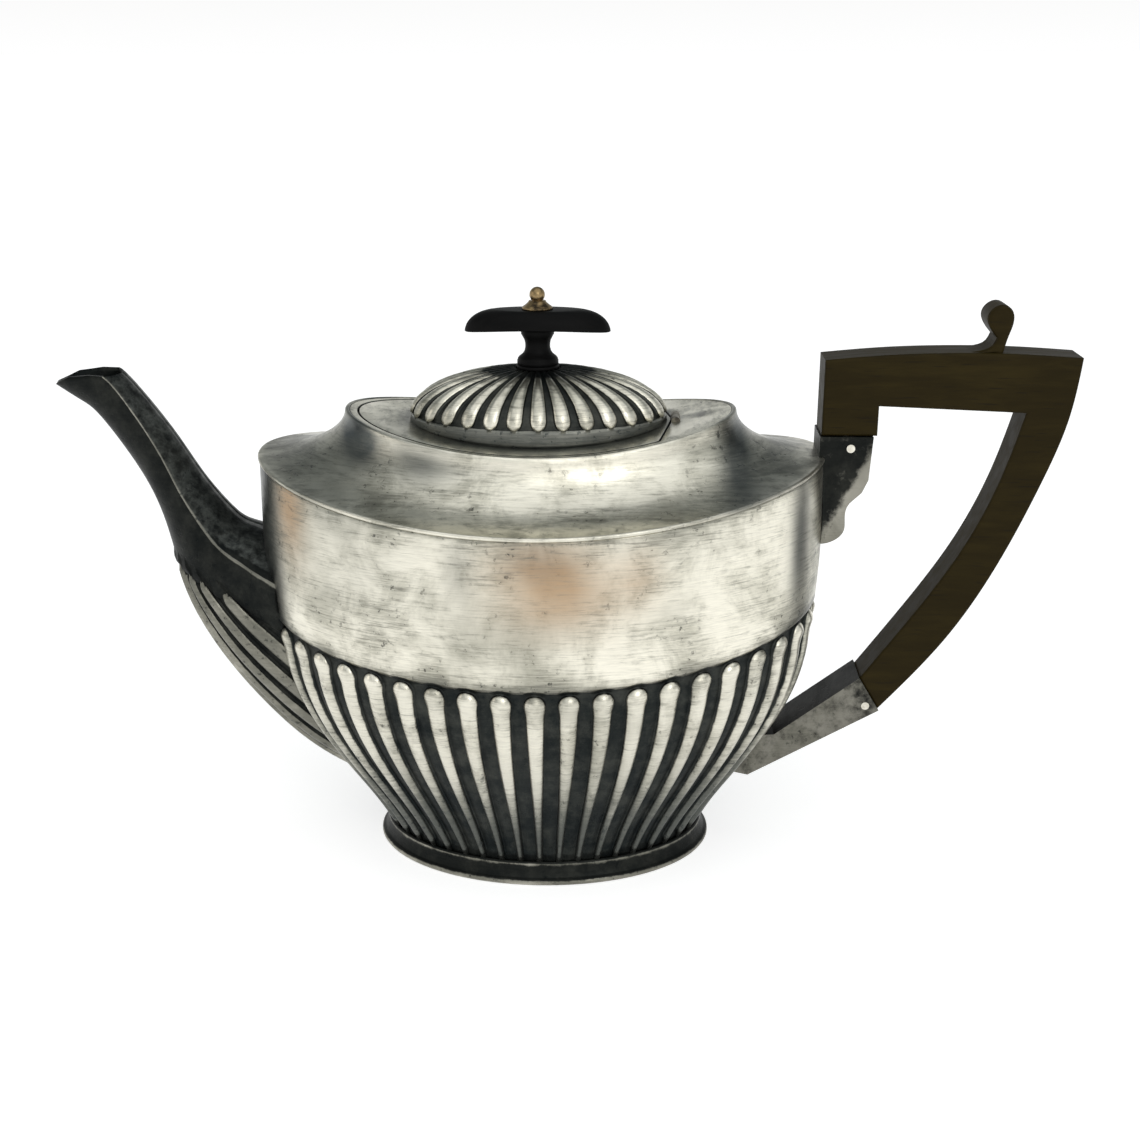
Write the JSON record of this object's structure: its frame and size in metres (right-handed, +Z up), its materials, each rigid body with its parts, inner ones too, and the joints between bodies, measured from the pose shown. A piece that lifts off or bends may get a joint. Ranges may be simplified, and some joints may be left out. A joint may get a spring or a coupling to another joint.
{
  "type": "teapot",
  "caption": "Oval half-fluted silver-plated teapot with a flush hinged lid, gadrooned dome, black knob, dark wooden slab handle and long curved spout.",
  "frame": {"origin": "on the table, under the middle of the pot's whole length from the spout's lip to the back of the handle", "axes": "+Z up, +X towards the handle and -X towards the spout, Y across the pot, which is the same on both sides"},
  "size_m": [0.2806, 0.1052, 0.1639],
  "materials": {
    "silver_plate": "worn brushed silver plate, oxidised in the hollows",
    "tarnished_silver": "blackened silver plate with worn bright patches",
    "dark_wood": "dark brown polished hardwood with crisp edges",
    "ebonised_wood": "black ebonised wood, satin",
    "dark_brass": "dulled brass",
    "bright_pin": "filed and polished pin end"
  },
  "bodies": {
    "pot": {"bowl": "silver_plate", "base_plate": "silver_plate", "foot_ring": "silver_plate", "shoulder": "silver_plate", "top_plate": "silver_plate", "lid_seat": "silver_plate", "hinge_body_leaf": "silver_plate", "hinge_pin": "bright_pin", "spout_near_half": "tarnished_silver", "spout_far_half": "tarnished_silver", "socket_upper": "tarnished_silver", "socket_lower": "tarnished_silver", "handle": "dark_wood", "handle_pin_upper": "bright_pin", "handle_pin_lower": "bright_pin"},
    "lid": {"lid_plate": "silver_plate", "lid_flange": "silver_plate", "lid_dome": "silver_plate", "hinge_lid_leaf": "silver_plate", "knob_collar": "tarnished_silver", "knob_stem": "ebonised_wood", "knob_disc": "ebonised_wood", "knob_washer": "dark_brass", "knob_finial": "dark_brass", "knob_screw": "dark_brass", "knob_nut": "dark_brass"}
  },
  "joints": [
    {"name": "lid_hinge", "type": "hinge", "parent": "pot", "child": "lid", "pos_m": [0.0324, 0, 0.1279], "axis": [0, 1, 0], "range_deg": [0, 95]}
  ]
}
